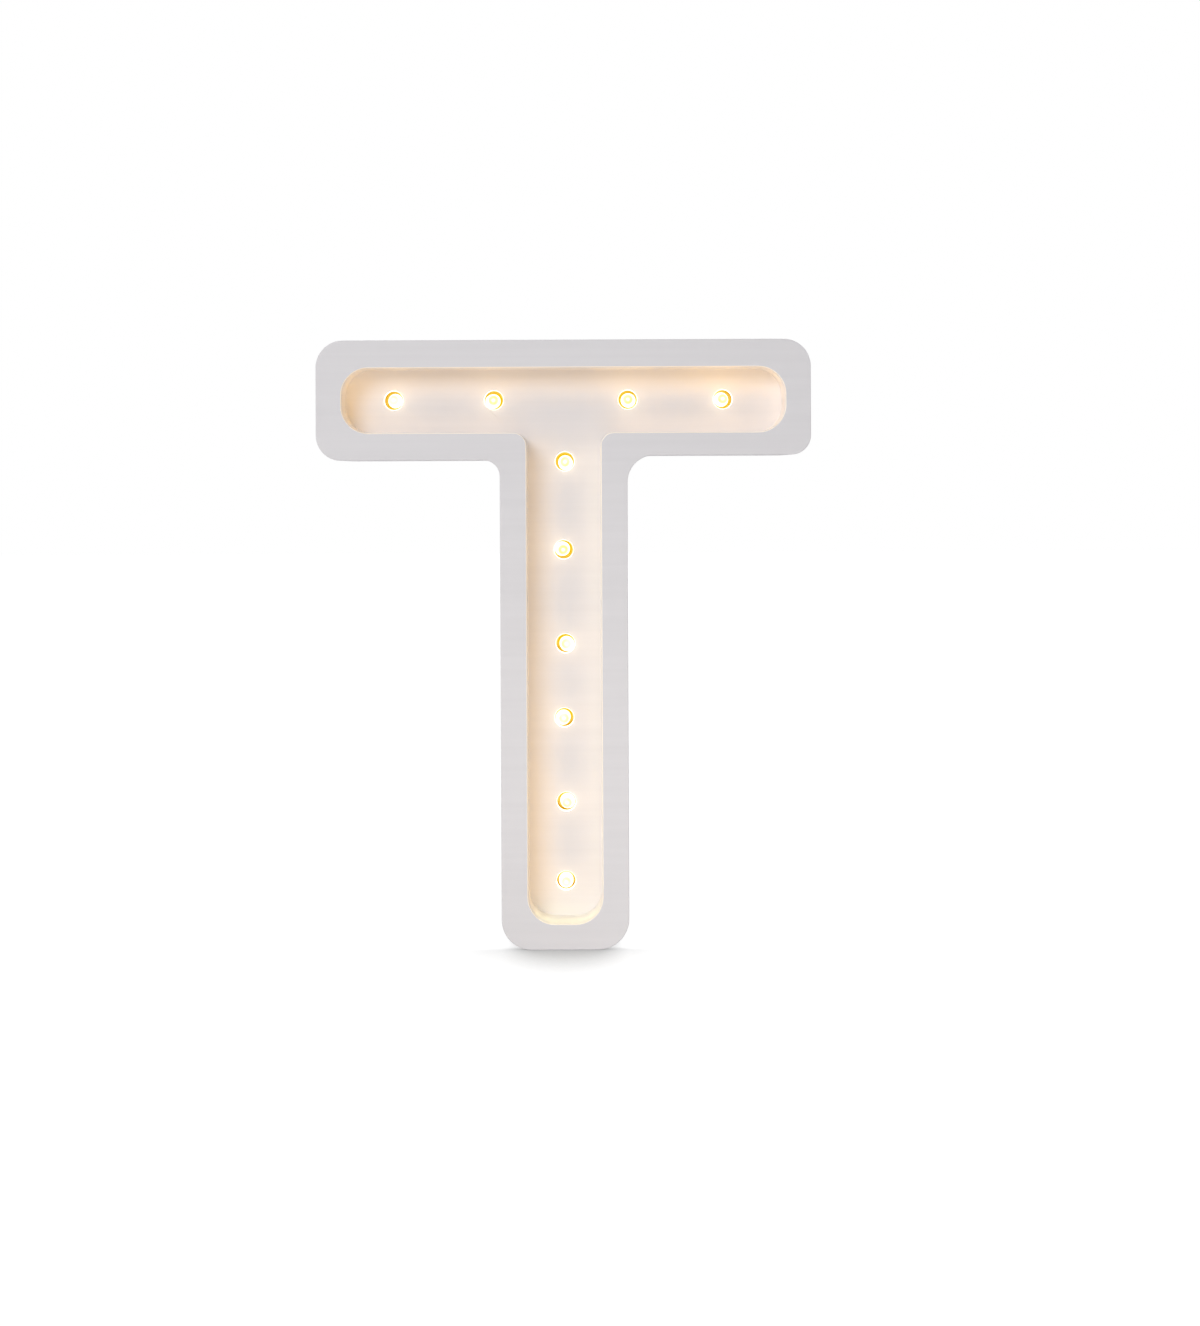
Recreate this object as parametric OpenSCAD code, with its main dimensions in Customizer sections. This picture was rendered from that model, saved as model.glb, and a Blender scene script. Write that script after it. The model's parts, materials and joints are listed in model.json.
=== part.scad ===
// Letter night light: a painted wooden letter T. Ten warm lights stand in a recess
// milled into its front, and a battery box with a switch is let into its back.
// The front faces -Y, up is +Z, and the foot of the stem stands on z = 0.

/* [Letter] */
// Height of the letter
letter_h = 210; // [190:1:260]
// Width of the crossbar
letter_w = 170.5; // [155:0.5:220]
// Height of the left arm of the crossbar
arm_h_left = 41.4; // [38:0.1:48]
// Height of the right arm of the crossbar, sanded a little thinner
arm_h_right = 39.9; // [38:0.1:48]
// Width of the stem
stem_w = 44; // [42:0.5:60]
// Radius of the upper corners
corner_r = 9.4; // [6:0.1:12]
// Radius of the lower corner of the left arm
corner_r_left = 8.7; // [6:0.1:12]
// Radius of the lower corner of the right arm
corner_r_right = 6.8; // [6:0.1:12]
// Radius of the left corner at the foot
foot_r_left = 10.3; // [6:0.1:12]
// Radius of the right corner at the foot
foot_r_right = 10.6; // [6:0.1:12]
// Radius under the left arm
crotch_r_left = 5.6; // [3:0.1:10]
// Radius under the right arm
crotch_r_right = 9.3; // [3:0.1:10]

/* [Recess] */
// Depth of the lit recess
recess_depth = 13; // [8:0.5:20]
// Rim above the recess
rim_top = 9.5; // [7:0.1:11]
// Rim at the ends of the arms
rim_end = 8.7; // [7:0.1:12]
// Rim below the recess at the foot
rim_foot = 8.8; // [7:0.1:14]
// Height of the recess in the crossbar
recess_bar_h = 22.5; // [20:0.1:24]
// Width of the recess in the stem
recess_stem_w = 25.8; // [21:0.1:28]
// Radius of the recess corners
recess_r = 9.4; // [6:0.1:10]
// Radius of the recess where the arms meet the stem
recess_crotch_r = 4.5; // [2:0.1:6]
// Wood between the recess and the hollow behind it
web_t = 6.5; // [5:0.1:8]

/* [Back] */
// Thickness of the back panel
panel_t = 4; // [3:0.1:6]
// Wall round the hollow in the arms and at the foot
hollow_wall = 4.5; // [3:0.1:6]
// Radius of the pads that take the panel screws
pad_r = 4.5; // [3.5:0.1:6]
// Distance of the panel screws from the edges
screw_inset = 7; // [6:0.1:8]
// Diameter of the panel screws
panel_screw_d = 3; // [2.5:0.1:3.5]
// Length of the panel screws
panel_screw_l = 16; // [12:0.5:18]
// Height of the upper stem screws below the left arm
stem_screw_drop = 8.5; // [6:0.5:20]
// Radius of the round entry of the hanging keyhole
keyhole_r = 4; // [3.5:0.1:5]
// Width of the keyhole's slot
keyhole_slot_w = 4.2; // [3:0.1:5]
// Rise of the keyhole's slot above its entry
keyhole_rise = 7; // [5:0.5:9]

/* [Lights] */
// Diameter of a light's lens
led_d = 5; // [4.5:0.1:5.2]
// Length of a lens from its base to its tip
led_l = 8.7; // [8:0.1:10]
// Diameter of the flange at a lens's base
led_flange_d = 5.6; // [5.3:0.1:5.8]
// Diameter of the hole that a light stands in
led_hole_d = 6.6; // [6.4:0.1:7.5]
// Lean of the lights in their holes, in degrees
led_lean = 6; // [0:0.5:6]
// Distance of the outer lights from the ends of the recess
led_end_gap = 18.8; // [12:0.1:24]
// Distance of the inner lights of the crossbar from its middle
led_inner_x = 23.5; // [21:0.1:30]
// Rise of the crossbar's lights above the middle of the recess
led_row_rise = 0.5; // [-2:0.1:2]
// Drop from the crossbar's lights to the top light of the stem
led_top_drop = 21.6; // [18:0.1:26]
// Distance of the lowest light from the foot of the recess
led_foot_gap = 12.2; // [8:0.1:20]
// Number of lights on the stem
led_stem_count = 6; // [5:1:7]

/* [Wiring] */
// Diameter of the wires
wire_d = 1.2; // [0.8:0.1:1.4]
// Room for the wires between the web and the battery box
wire_space = 2.7; // [2.5:0.1:6]
// Reach of a light's bent leads from its axis
lead_reach = 6; // [5.5:0.1:7]

/* [Battery box] */
// Height of the box above the foot
box_rise = 28; // [24:0.5:40]
// Diameter of a cell
cell_d = 14.2; // [13.8:0.1:14.4]
// Length of a cell with its terminal
cell_l = 50.2; // [49:0.1:51]
// Free length of a contact spring
spring_l = 6; // [5.6:0.1:8]
// Wall of the box
box_wall = 2; // [1.8:0.1:2.2]
// Floor of the box
box_floor = 1.4; // [1:0.1:2]
// Thickness of the flange
flange_t = 1.5; // [1.2:0.1:1.8]
// Overhang of the flange at the sides
flange_side = 2.3; // [1.5:0.1:2.6]
// Overhang of the flange at its ends
flange_end = 5; // [4.5:0.1:7]
// Thickness of the battery door
door_t = 1.8; // [1.6:0.1:2.4]
// Length of the room for the door screw
boss_room = 9; // [8.6:0.1:12]
// Length of the room for the switch
switch_room = 14; // [13:0.1:18]

/* [Switch] */
// Travel of the knob from on to off
switch_travel = 2.5; // [1.5:0.1:3]
// Width of the knob along its travel
knob_w = 4; // [3:0.1:5]
// Height of the knob across its travel
knob_h = 3.2; // [2.5:0.1:3.6]
// Distance between the switch screws
ear_span = 15; // [14:0.1:17]

/* [Clearances] */
// Gap round the box in the panel and in the hollow
box_gap = 0.5; // [0.3:0.1:1]
// Gap round the flange and the door
edge_gap = 0.25; // [0.2:0.05:0.4]
// Gap between faces that rest on each other
seat_gap = 0.05; // [0.02:0.01:0.1]
// Gap round what turns or slides
run_gap = 0.1; // [0.05:0.01:0.15]

/* [Hidden] */
$fn = 64;
cut = 1;

// Depths, from the front to the back
led_sink = 0.3;
door_gap = 0.5;
cradle_gap = 0.2;
flange_sink = 0.2;
box_depth = door_t + door_gap + cell_d + cradle_gap + box_floor;
letter_t = recess_depth + web_t + wire_space + box_depth + flange_sink;
front_y = -letter_t / 2;
back_y = letter_t / 2;
floor_y = front_y + recess_depth;
web_y = floor_y + web_t;
panel_y = back_y - panel_t;
flange_y = back_y - flange_sink;
door_y = flange_y - door_t;
cell_y = door_y - door_gap - cell_d / 2;
tray_y = cell_y - cell_d / 2 - cradle_gap;
box_y = tray_y - box_floor;

// Width of the battery box, and the hollow in the stem that takes it
bay_gap = 0.4;
bay_rib = 0.8;
bay_w = cell_d + bay_gap;
cell_x = (bay_w + bay_rib) / 2;
bay_half = bay_w + bay_rib / 2;
box_half = bay_half + box_wall;
hollow_half = box_half + box_gap;

// Heights of the battery box, from its foot to its top
contact_t = 0.5;
dimple_h = 0.6;
dimple_r = 2;
bay_l = cell_l + spring_l + 2 * contact_t + dimple_h + 2 * seat_gap;
bay_wall = 1.5;
boss_z = box_rise + box_wall;
bay_z = boss_z + boss_room + bay_wall;
bay_top = bay_z + bay_l;
switch_z = bay_top + box_wall;
box_top = switch_z + switch_room + box_wall;
switch_mid = switch_z + switch_room / 2;
flange_half = box_half + flange_side;
flange_r = 3;
box_r = 2;

// Door, its tongues and its screw
door_seat = 1;
door_foot = boss_z - door_seat;
door_top = bay_top + door_seat;
door_half = bay_half + door_seat;
door_r = 1.5;
tongue_x = 9;
tongue_w = 5;
tongue_t = 1;
tongue_l = 2.2;
tongue_root = 1.5;
tongue_swing = 1.6;
lip_t = 1.5;
door_rib_w = 1.6;
door_rib_h = 2;
door_rib_end = 6;
grip_count = 4;
grip_w = 14;
grip_h = 1.1;
grip_pitch = 2.4;
grip_depth = 0.6;
grip_rise = 12;
door_screw_z = boss_z + boss_room / 2;
door_screw_d = 2.2;
door_head_d = 4.8;
door_head_h = 1.5;
door_head_sink = 0.6;
door_boss_r = 3.5;
door_boss_h = 3;
post_r = 3.3;
post_grip = 3;
post_bore = 5;
post_gap = 0.6;
head_seat_y = flange_y - door_head_sink - door_head_h;
post_y = door_y - door_boss_h - edge_gap;

// Box screws, and the small screws' shape
box_screw_d = 2.2;
box_screw_l = 6;
head_ratio = 1.85;
tip_ratio = 0.8;
cross_ratio = 0.55;
cross_w_ratio = 0.16;

// Switch, from the dish in the flange inwards
dish_depth = 1.9;
dish_t = 1.3;
dish_w = 24;
dish_h = 9.4;
dish_r = 2.5;
dish_y = flange_y - dish_depth;
ceiling_y = dish_y - dish_t;
frame_t = 0.5;
frame_y = ceiling_y - frame_t;
ear_r = 2.2;
frame_w = ear_span + 2 * ear_r;
frame_h = 6.2;
frame_lip = 1.6;
base_w = 10.4;
base_h = 5;
base_depth = 4.6;
base_y = frame_y - base_depth;
slot_w = knob_w + switch_travel + 2 * edge_gap;
slot_h = knob_h + 2 * edge_gap;
knob_sink = 0.3;
knob_foot = 1;
knob_foot_side = 1.1;
foot_w = knob_w + 2 * knob_foot_side;
knob_groove = 0.5;
knob_x = switch_travel / 2;
switch_screw_d = 2;
switch_screw_l = 3.4;
switch_head_d = 3.4;
switch_head_h = 1;
terminal_w = 1.4;
terminal_t = 0.6;
terminal_l = 3.5;
terminal_pitch = 3;
terminal_y = base_y - terminal_l;

// Contacts and their springs
contact_w = 11;
tab_w = 3;
tab_l = 3;
slit_gap = 0.15;
spring_d = 0.8;
spring_base_r = 4.6;
spring_tip_r = 3;
spring_turns = 4;
rings_per_turn = 8;
spring_sides = 6;

// Cells
nub_d = 5.5;
nub_h = 1.2;
cell_edge = 0.6;
ring_w = 1.2;
ring_sink = 0.4;

// Cradle ribs and the wires' way out of the box
cradle_t = 1.6;
cradle_h = 3;
cradle_lift = 0.05;
cradle_inset = 12;
rib_start = 3;
notch_w = 3;
notch_depth = 8;

// Lights: their leads, the glue that holds them and the drilled places
led_flange_t = 1;
led_flat = 0.1;
lead_w = 0.5;
lead_pitch = 2.54;
lead_start = 0.15;
lead_lap = 0.4;
anode_top = 3.6;
anode_head = [0.9, 0.6, 0.7];
anvil_foot = 3.2;
anvil = [2.1, 0.9, 1.2];
cup_r = 0.8;
cup_h = 0.7;
die_r = 0.5;
die_depth = 0.3;
glue_r = 4.2;
glue_h = 0.8;
dome_fn = 400;
solder_r = 0.85;
solder_l = 2.4;
lead_over = 0.6;
led_base_y = web_y - led_sink;
lead_y = web_y + glue_h + lead_w / 2 + run_gap;
lead_drop = lead_y - led_base_y;
recess_half = letter_w / 2 - rim_end;
recess_top = letter_h - rim_top;
recess_arm = recess_top - recess_bar_h;
row_z = (recess_top + recess_arm) / 2 + led_row_rise;
led_outer_x = recess_half - led_end_gap;
stem_top_z = row_z - led_top_drop;
stem_foot_z = rim_foot + led_foot_gap;
stem_pitch = (stem_top_z - stem_foot_z) / (led_stem_count - 1);
bar_count = 4;
led_count = bar_count + led_stem_count;
bar_even_x = [-led_outer_x, -led_inner_x, led_inner_x, led_outer_x];

// Small errors of the hand drill, the way that each light leans, in degrees from +X towards +Z, and
// its share of the full lean
bar_wander = [-1.9, -1, -1, -1.9];
stem_wander_x = [0.3, -0.2, 0.3, -0.2, 0.4, 0.2];
stem_wander_z = [0, -1.5, -5, -1.6, -1.7, 0];
lean_ways = [345, 232, 300, 190, 300, 150, 340, 181, 22, 90];
lean_shares = [1, 1, 0.55, 1, 1, 1, 1, 0.8, 0.85, 0.2];
led_points = concat(
    [for (i = [0 : bar_count - 1]) [bar_even_x[i] + bar_wander[i], row_z]],
    [for (i = [0 : led_stem_count - 1]) [
        stem_wander_x[i % len(stem_wander_x)],
        stem_top_z - i * stem_pitch + stem_wander_z[i % len(stem_wander_z)]
    ]]
);

// Panel screws, two at each end of the bar and four on the stem
left_arm_z = letter_h - arm_h_left;
right_arm_z = letter_h - arm_h_right;
arm_z = [left_arm_z, right_arm_z];
arm_screw_x = letter_w / 2 - screw_inset;
stem_screw_x = stem_w / 2 - screw_inset;
stem_screw_z = left_arm_z - stem_screw_drop;
panel_screws_at = [
    [-arm_screw_x, letter_h - screw_inset],
    [arm_screw_x, letter_h - screw_inset],
    [-arm_screw_x, left_arm_z + screw_inset],
    [arm_screw_x, right_arm_z + screw_inset],
    [-stem_screw_x, stem_screw_z],
    [stem_screw_x, stem_screw_z],
    [-stem_screw_x, screw_inset],
    [stem_screw_x, screw_inset]
];
box_screws_at = [box_rise - flange_end / 2, box_top + flange_end / 2];

// Wires: how far each bows, and the handles of the curved ones
stem_bow = 1.5;
bar_bow = 2;
link_bow = 3;
wire_sides = 8;
wire_steps = 10;
joint_gap = 0.3;
wire_end = solder_l / 2 + joint_gap;
wire_top = solder_r + wire_d / 2 + seat_gap;
feed_led = bar_count + 1;
feed_start = 12;
feed_end = 10;
jumper_start = 3;
jumper_end = 3;
resistor_d = 2.3;
resistor_l = 6.3;
resistor_lead_d = 0.6;
resistor_lead = 1.6;
resistor_y = terminal_y - resistor_lead_d / 2 - seat_gap;
resistor_x = terminal_pitch + resistor_lead + resistor_l / 2;
resistor_end = resistor_x + resistor_l / 2 + resistor_lead;
resistor_rise = 2;

// Shapes that repeat

// A flat shape drawn in x and z, from one depth to another
module slab(y0, y1) {
    translate([0, y1, 0]) rotate([90, 0, 0]) linear_extrude(y1 - y0) children();
}

// A place whose own +Z points to the back
module facing_back(x, y, z) {
    translate([x, y, z]) rotate([-90, 0, 0]) children();
}

module block(x0, x1, y0, y1, z0, z1) {
    translate([x0, y0, z0]) cube([x1 - x0, y1 - y0, z1 - z0]);
}

module rounded_rect(x0, x1, z0, z1, r) {
    translate([x0, z0 + r]) square([x1 - x0, z1 - z0 - 2 * r]);
    translate([x0 + r, z0]) square([x1 - x0 - 2 * r, z1 - z0]);
    for (x = [x0 + r, x1 - r], z = [z0 + r, z1 - r]) translate([x, z]) circle(r);
}

// One arm of the crossbar, from the middle to its rounded end
module arm_shape(reach, z0, z1, low_r, high_r) {
    straight = z1 - z0 - low_r - high_r;
    translate([0, z0]) square([reach - low_r, low_r + straight]);
    translate([0, z0 + low_r]) square([reach - high_r, straight + high_r]);
    translate([0, z0 + low_r]) square([reach, straight]);
    translate([reach - low_r, z0 + low_r]) circle(low_r);
    translate([reach - high_r, z1 - high_r]) circle(high_r);
}

// The rounded inner corner below an arm
module crotch_shape(half, z, r) {
    translate([half, z]) difference() {
        translate([-cut, -r]) square([r + cut, r + cut]);
        translate([r, -r]) circle(r);
    }
}

// The stem from its foot up, with a left and a right corner at the foot
module stem_shape(half, z0, z1, left_r, right_r) {
    translate([-half, z0 + left_r]) square([half, z1 - z0 - left_r]);
    translate([0, z0 + right_r]) square([half, z1 - z0 - right_r]);
    translate([left_r - half, z0]) square([2 * half - left_r - right_r, z1 - z0]);
    translate([left_r - half, z0 + left_r]) circle(left_r);
    translate([half - right_r, z0 + right_r]) circle(right_r);
}

// An arm with the corner below it
module letter_side(half, top, z, stem_half, high_r, low_r, crotch_r) {
    arm_shape(half, z, top, low_r, high_r);
    crotch_shape(stem_half, z, crotch_r);
}

// The letter's outline, or the outline of a hollow that follows it. The heights of the arms,
// their lower corners, the corners at the foot and those below the arms are pairs, left and right.
module letter_shape(half, top, arms, foot, stem_half, high_r, low_r, end_r, crotch_r) {
    mirror([1, 0]) letter_side(half, top, arms[0], stem_half, high_r, low_r[0], crotch_r[0]);
    letter_side(half, top, arms[1], stem_half, high_r, low_r[1], crotch_r[1]);
    stem_shape(stem_half, foot, (top + max(arms)) / 2, end_r[0], end_r[1]);
}

module outer_shape() {
    letter_shape(letter_w / 2, letter_h, arm_z, 0, stem_w / 2, corner_r,
        [corner_r_left, corner_r_right], [foot_r_left, foot_r_right], [crotch_r_left, crotch_r_right]);
}

module recess_shape() {
    letter_shape(recess_half, recess_top, [recess_arm, recess_arm], rim_foot, recess_stem_w / 2,
        recess_r, [recess_r, recess_r], [recess_r, recess_r], [recess_crotch_r, recess_crotch_r]);
}

module hollow_shape() {
    wall = [hollow_wall, hollow_wall];
    letter_shape(letter_w / 2 - hollow_wall, letter_h - hollow_wall, arm_z + wall, hollow_wall,
        hollow_half, corner_r - hollow_wall, [corner_r_left, corner_r_right] - wall,
        [foot_r_left, foot_r_right] - wall, [crotch_r_left, crotch_r_right]);
}

// A countersunk screw, its head flush with z = 0
module countersunk_screw(d, l) {
    head_d = d * head_ratio;
    head_h = (head_d - d) / 2;
    tip_l = d * tip_ratio;
    difference() {
        union() {
            translate([0, 0, -head_h]) cylinder(h = head_h, d1 = d, d2 = head_d);
            translate([0, 0, tip_l - l]) cylinder(h = l - tip_l - head_h, d = d);
            translate([0, 0, -l]) cylinder(h = tip_l, d1 = 0, d2 = d);
        }
        cross_cut(head_d, head_h);
    }
}

// The hole for such a screw, wider by a gap all round
module countersunk_hole(d, l, gap) {
    head_d = d * head_ratio;
    head_h = (head_d - d) / 2;
    translate([0, 0, -l - cut]) cylinder(h = l + cut, d = d + 2 * gap);
    translate([0, 0, -head_h]) cylinder(h = head_h + gap, d1 = d + 2 * gap, d2 = head_d + 4 * gap);
}

// The cross recess in a screw's head
module cross_cut(head_d, head_h) {
    long = head_d * cross_ratio;
    wide = head_d * cross_w_ratio;
    deep = head_h * cross_ratio;
    for (turn = [0, 90]) rotate(turn)
        translate([-long / 2, -wide / 2, -deep]) cube([long, wide, deep + cut]);
}

// A pan head screw, the underside of its head at z = 0
module pan_screw(d, l, head_d, head_h) {
    tip_l = d * tip_ratio;
    difference() {
        union() {
            cylinder(h = head_h, d = head_d);
            translate([0, 0, tip_l - l]) cylinder(h = l - tip_l, d = d);
            translate([0, 0, -l]) cylinder(h = tip_l, d1 = 0, d2 = d);
        }
        translate([0, 0, head_h]) cross_cut(head_d, head_h);
    }
}

// A round wire bent to an arc from p to q, bowed towards a direction
module bowed_wire(p, q, towards, bow) {
    chord = norm(q - p);
    along = (q - p) / chord;
    side = towards - (towards * along) * along;
    out = side / norm(side);
    up = cross(along, out);
    radius = chord * chord / (8 * bow) + bow / 2;
    half_turn = asin(chord / (2 * radius));
    middle = (p + q) / 2;
    multmatrix([
        [along[0], out[0], up[0], middle[0]],
        [along[1], out[1], up[1], middle[1]],
        [along[2], out[2], up[2], middle[2]],
        [0, 0, 0, 1]
    ])
        translate([0, bow - radius, 0]) rotate(90 - half_turn)
            rotate_extrude(angle = 2 * half_turn) translate([radius, 0]) circle(d = wire_d);
}

// A point on a curve that leaves p along a and reaches q along b
function curve_point(p, a, b, q, t) =
    pow(1 - t, 3) * p + 3 * t * pow(1 - t, 2) * (p + a) + 3 * t * t * (1 - t) * (q - b) + pow(t, 3) * q;

function curve(p, a, b, q) = [for (k = [0 : wire_steps]) curve_point(p, a, b, q, k / wire_steps)];

function unit(v) = v / norm(v);

// The direction of a path at one of its points
function path_way(path, k) = unit(path[min(k + 1, len(path) - 1)] - path[max(k - 1, 0)]);

// A closed tube along a path, its rings turned to one fixed direction
module tube(path, r, sides, fixed) {
    last = len(path) - 1;
    points = [for (k = [0 : last], j = [0 : sides - 1])
        let (way = path_way(path, k), a = unit(cross(fixed, way)), b = cross(way, a),
            turn = 360 * j / sides)
        path[k] + r * (cos(turn) * a + sin(turn) * b)];
    walls = [for (k = [0 : last - 1], j = [0 : sides - 1], half = [0, 1])
        let (m = (j + 1) % sides, here = k * sides, next = here + sides)
        half == 0 ? [here + j, next + j, next + m] : [here + j, next + m, here + m]];
    start = [for (j = [1 : sides - 2]) [0, j, j + 1]];
    end = [for (j = [1 : sides - 2]) [last * sides, last * sides + j + 1, last * sides + j]];
    polyhedron(points, concat(walls, start, end));
}

// The centre line of a contact spring, from its wide base to its narrow tip
spring_rings = spring_turns * rings_per_turn;
spring_foot = spring_d / 2 + seat_gap;
spring_rise = spring_l - 2 * spring_foot;
spring_path = [for (k = [0 : spring_rings])
    let (part = k / spring_rings, turn = 360 * k / rings_per_turn,
        r = spring_base_r + (spring_tip_r - spring_base_r) * part)
    [r * cos(turn), r * sin(turn), spring_foot + spring_rise * part]];

// The least gap between two turns of the spring, measured on its points
spring_gap = min([for (k = [0 : spring_rings], m = [k + rings_per_turn - 2 : 1 : spring_rings])
    norm(spring_path[k] - spring_path[m])]) - spring_d;
echo(spring_least_gap = spring_gap);

module contact_spring() {
    tube(spring_path, spring_d / 2, spring_sides, [0, 0, 1]);
}

// Wood

module letter_body() color("white") difference() {
    slab(front_y, panel_y) outer_shape();
    slab(front_y - cut, floor_y) recess_shape();
    slab(web_y, panel_y + cut) difference() {
        hollow_shape();
        for (p = panel_screws_at) translate(p) circle(pad_r);
    }
    for (p = led_points) facing_back(p[0], floor_y - cut, p[1])
        cylinder(h = web_t + 2 * cut, d = led_hole_d);
    for (p = panel_screws_at) facing_back(p[0], back_y, p[1])
        translate([0, 0, -panel_screw_l]) cylinder(h = panel_screw_l, d = panel_screw_d + 2 * seat_gap);
}

module back_panel() color("white") difference() {
    slab(panel_y, back_y) outer_shape();
    slab(panel_y - cut, back_y + cut)
        rounded_rect(-box_half - box_gap, box_half + box_gap,
            box_rise - box_gap, box_top + box_gap, box_r);
    slab(flange_y - flange_t, back_y + cut)
        rounded_rect(-flange_half - edge_gap, flange_half + edge_gap,
            box_rise - flange_end - edge_gap, box_top + flange_end + edge_gap, flange_r);
    facing_back(0, panel_y - cut, row_z) cylinder(h = panel_t + 2 * cut, r = keyhole_r);
    facing_back(0, panel_y - cut, row_z + keyhole_rise)
        cylinder(h = panel_t + 2 * cut, d = keyhole_slot_w);
    block(-keyhole_slot_w / 2, keyhole_slot_w / 2, panel_y - cut, back_y + cut,
        row_z, row_z + keyhole_rise);
    for (p = panel_screws_at) facing_back(p[0], back_y, p[1])
        countersunk_hole(panel_screw_d, panel_t, seat_gap);
    for (z = box_screws_at) facing_back(0, back_y, z)
        translate([0, 0, -panel_t - cut]) cylinder(h = panel_t + 2 * cut, d = box_screw_d + 2 * seat_gap);
}

module panel_screws() color("silver") {
    for (p = panel_screws_at) facing_back(p[0], back_y, p[1])
        countersunk_screw(panel_screw_d, panel_screw_l);
}

// Lights

function on_bar(i) = i < bar_count;
function led_spin(i) = on_bar(i) ? -90 : 0;
function lean_axis(i) = let (way = lean_ways[i % len(lean_ways)]) [-sin(way), 0, cos(way)];
function lean_of(i) = led_lean * lean_shares[i % len(lean_shares)];

// The middle of a solder joint, on the plus side or the minus side of a light
function joint(i, side) = let (p = led_points[i], reach = side * lead_reach)
    on_bar(i) ? [p[0], lead_y, p[1] + reach] : [p[0] + reach, lead_y, p[1]];

// The place of a light, its own +Z towards the front
module at_led(i, lean) {
    translate([led_points[i][0], led_base_y, led_points[i][1]]) rotate(a = lean, v = lean_axis(i))
        rotate([0, led_spin(i), 0]) rotate([90, 0, 0]) children();
}

module lens_shape() {
    difference() {
        rotate_extrude() {
            square([led_flange_d / 2, led_flange_t]);
            square([led_d / 2, led_l - led_d / 2]);
            translate([0, led_l - led_d / 2]) intersection() {
                circle(led_d / 2);
                square(led_d / 2);
            }
        }
        translate([-led_flange_d - led_d / 2 - led_flat, -led_flange_d, -cut])
            cube([led_flange_d, 2 * led_flange_d, led_flange_t + cut]);
    }
}

// A square lead, upright between two heights
module lead_post(x, z0, z1) {
    translate([x - lead_w / 2, -lead_w / 2, z0]) cube([lead_w, lead_w, z1 - z0]);
}

// The ends of both leads inside the lens: a post, and an anvil with the cup for the die
module leads_inside() {
    lead_post(lead_pitch / 2, -lead_lap, anode_top);
    translate([lead_pitch / 2 - lead_w / 2, -anode_head[1] / 2, anode_top]) cube(anode_head);
    lead_post(-lead_pitch / 2, -lead_lap, anvil_foot);
    translate([-lead_pitch / 2 - lead_w / 2, -anvil[1] / 2, anvil_foot]) cube(anvil);
    difference() {
        translate([0, 0, anvil_foot + anvil[2]]) cylinder(h = cup_h, r = cup_r);
        translate([0, 0, anvil_foot + anvil[2] + cup_h - die_depth])
            cylinder(h = die_depth + cut, r = die_r);
    }
}

// Both leads behind the lens, bent out to their solder joints
module leads_behind() {
    for (side = [-1, 1]) {
        lead_post(side * lead_pitch / 2, -lead_drop - lead_w / 2, -lead_start);
        translate([side > 0 ? lead_pitch / 2 - lead_w / 2 : -lead_reach - lead_over,
            -lead_w / 2, -lead_drop - lead_w / 2])
            cube([lead_reach + lead_over - lead_pitch / 2 + lead_w / 2, lead_w, lead_w]);
    }
}

module led_lens(i) color("lightyellow") at_led(i, lean_of(i)) difference() {
    lens_shape();
    leads_inside();
}

module led_leads(i) color("silver") {
    at_led(i, lean_of(i)) leads_inside();
    at_led(i, 0) leads_behind();
}

// A low dome of glue behind each light
module led_glue() color("ivory") {
    dome_r = (glue_r * glue_r + glue_h * glue_h) / (2 * glue_h);
    for (i = [0 : led_count - 1]) difference() {
        facing_back(led_points[i][0], web_y, led_points[i][1]) rotate_extrude() intersection() {
            translate([0, glue_h - dome_r]) circle(dome_r, $fn = dome_fn);
            square([glue_r, glue_h]);
        }
        at_led(i, 0) leads_behind();
        at_led(i, lean_of(i)) leads_inside();
    }
}

module solder_joints() color("silver") {
    for (i = [0 : led_count - 1]) at_led(i, 0) difference() {
        for (x = [-lead_reach, lead_reach])
            translate([x, solder_l / 2, -lead_drop]) rotate([90, 0, 0])
                cylinder(h = solder_l, r = solder_r);
        leads_behind();
    }
}

// The wires of one side, from joint to joint along the bar and down the stem
module led_wires(side) {
    bow_out = [side, 0, 0];
    bow_bar = [0, 0, side];
    x_end = [wire_end, 0, 0];
    z_end = [0, 0, wire_end];
    for (i = [0 : bar_count - 2])
        bowed_wire(joint(i, side) + x_end, joint(i + 1, side) - x_end, bow_bar, bar_bow);
    for (i = [bar_count : led_count - 2])
        bowed_wire(joint(i, side) - z_end, joint(i + 1, side) + z_end, bow_out, stem_bow);
    inner = side > 0 ? 2 : 1;
    over = [0, wire_top, 0];
    bowed_wire(joint(bar_count, side) + over, joint(inner, side) + over, [0, 1, 0], link_bow);
}

module led_wires_red() color("firebrick") led_wires(1);

module led_wires_black() color("dimgray") led_wires(-1);

// The way of the wire from the resistor to the lights, and from the minus contact to them
red_way = curve([resistor_end, resistor_y, switch_mid + resistor_rise + joint_gap], [0, 0, feed_start],
    [-feed_end, 0, feed_end], joint(feed_led, 1) + [0, wire_top, 0]);
black_way = curve([-cell_x, cell_y, switch_z + tab_l + joint_gap], [0, 0, feed_start],
    [feed_end, 0, feed_end], joint(feed_led, -1) + [0, wire_top, 0]);

module feed_wire_red() color("firebrick") tube(red_way, wire_d / 2, wire_sides, [0, 1, 0]);

module feed_wire_black() color("dimgray") tube(black_way, wire_d / 2, wire_sides, [0, 1, 0]);

// Where a wire passes the top wall of the box
function wall_x(way) = lookup(box_top - box_wall / 2, [for (p = way) [p[2], p[0]]]);

// Battery box

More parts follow.
